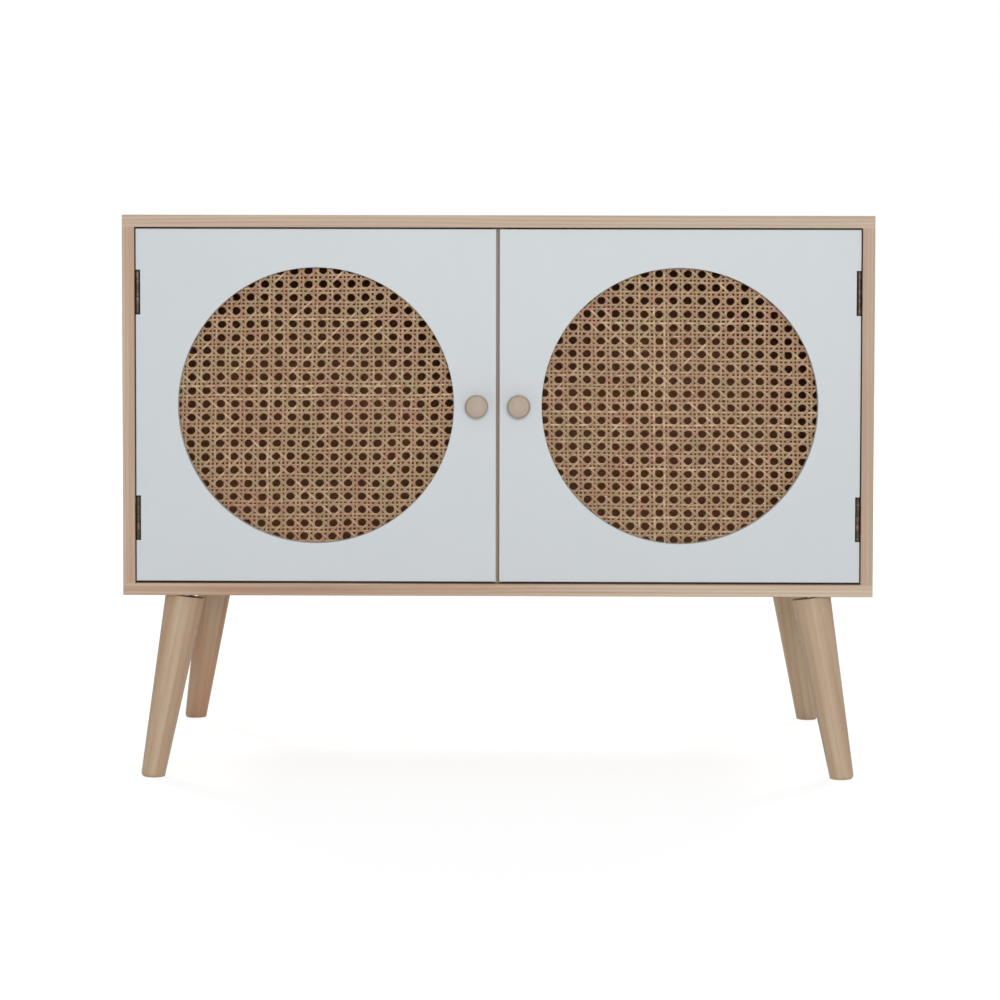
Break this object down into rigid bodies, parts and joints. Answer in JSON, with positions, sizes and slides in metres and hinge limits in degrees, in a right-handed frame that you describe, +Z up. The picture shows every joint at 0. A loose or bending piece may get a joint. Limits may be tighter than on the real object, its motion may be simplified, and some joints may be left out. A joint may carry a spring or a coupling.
{
  "type": "record cabinet",
  "caption": "Low record cabinet on splayed tapered legs, with hinged doors that have round cane windows and small knobs, and a divided bay for upright records.",
  "frame": {"origin": "on the floor, in the middle of the case in plan", "axes": "+X to the right seen from the front, +Y from front to back, +Z up"},
  "size_m": [0.8, 0.4322, 0.6],
  "materials": {
    "pale_wood": "matt oiled, straight fine grain",
    "leg_wood": "matt oiled, grain along the leg",
    "knob_wood": "fine sanded, matt",
    "dowel_wood": "fluted beech",
    "ring_wood": "sanded plywood",
    "back_board": "thin fibre sheet with a wood face",
    "door_paint": "smooth satin cool-white paint on board",
    "cane": "natural glossy cane strands",
    "aged_bronze": "dark antique bronze, satin",
    "screw_bronze": "dark antique bronze",
    "zinc_steel": "zinc plated",
    "brad_steel": "plain steel brads",
    "catch_plastic": "moulded brown plastic"
  },
  "bodies": {
    "case": {"back_panel": "back_board", "back_panel_nails": "brad_steel", "bottom_panel": "pale_wood", "catch_left": "catch_plastic", "catch_magnet_left": "zinc_steel", "catch_magnet_right": "zinc_steel", "catch_right": "catch_plastic", "catch_screws": "zinc_steel", "centre_divider": "pale_wood", "hinge_left_bottom_frame_leaf": "aged_bronze", "hinge_left_bottom_pin": "aged_bronze", "hinge_left_top_frame_leaf": "aged_bronze", "hinge_left_top_pin": "aged_bronze", "hinge_right_bottom_frame_leaf": "aged_bronze", "hinge_right_bottom_pin": "aged_bronze", "hinge_right_top_frame_leaf": "aged_bronze", "hinge_right_top_pin": "aged_bronze", "hinge_screws_frame": "screw_bronze", "leg_bolt_front_left": "zinc_steel", "leg_bolt_front_right": "zinc_steel", "leg_bolt_rear_left": "zinc_steel", "leg_bolt_rear_right": "zinc_steel", "leg_front_left": "leg_wood", "leg_front_right": "leg_wood", "leg_insert_front_left": "zinc_steel", "leg_insert_front_right": "zinc_steel", "leg_insert_rear_left": "zinc_steel", "leg_insert_rear_right": "zinc_steel", "leg_rear_left": "leg_wood", "leg_rear_right": "leg_wood", "panel_dowels": "dowel_wood", "side_panel_left": "pale_wood", "side_panel_right": "pale_wood", "top_panel": "pale_wood"},
    "left_door": {"cane_left": "cane", "cane_ring_left": "ring_wood", "cane_ring_pins_left": "brad_steel", "door_left": "door_paint", "hinge_left_bottom_door_leaf": "aged_bronze", "hinge_left_top_door_leaf": "aged_bronze", "hinge_screws_door_left": "screw_bronze", "knob_left": "knob_wood", "knob_screw_left": "zinc_steel", "strike_plate_left": "zinc_steel", "strike_screw_left": "zinc_steel"},
    "right_door": {"cane_right": "cane", "cane_ring_pins_right": "brad_steel", "cane_ring_right": "ring_wood", "door_right": "door_paint", "hinge_right_bottom_door_leaf": "aged_bronze", "hinge_right_top_door_leaf": "aged_bronze", "hinge_screws_door_right": "screw_bronze", "knob_right": "knob_wood", "knob_screw_right": "zinc_steel", "strike_plate_right": "zinc_steel", "strike_screw_right": "zinc_steel"}
  },
  "joints": [
    {"name": "left_door_swing", "type": "hinge", "parent": "case", "child": "left_door", "pos_m": [-0.3839, -0.196, 0.3973], "axis": [0, 0, -1], "range_deg": [0, 100]},
    {"name": "right_door_swing", "type": "hinge", "parent": "case", "child": "right_door", "pos_m": [0.3839, -0.196, 0.3973], "axis": [0, 0, 1], "range_deg": [0, 100]}
  ]
}
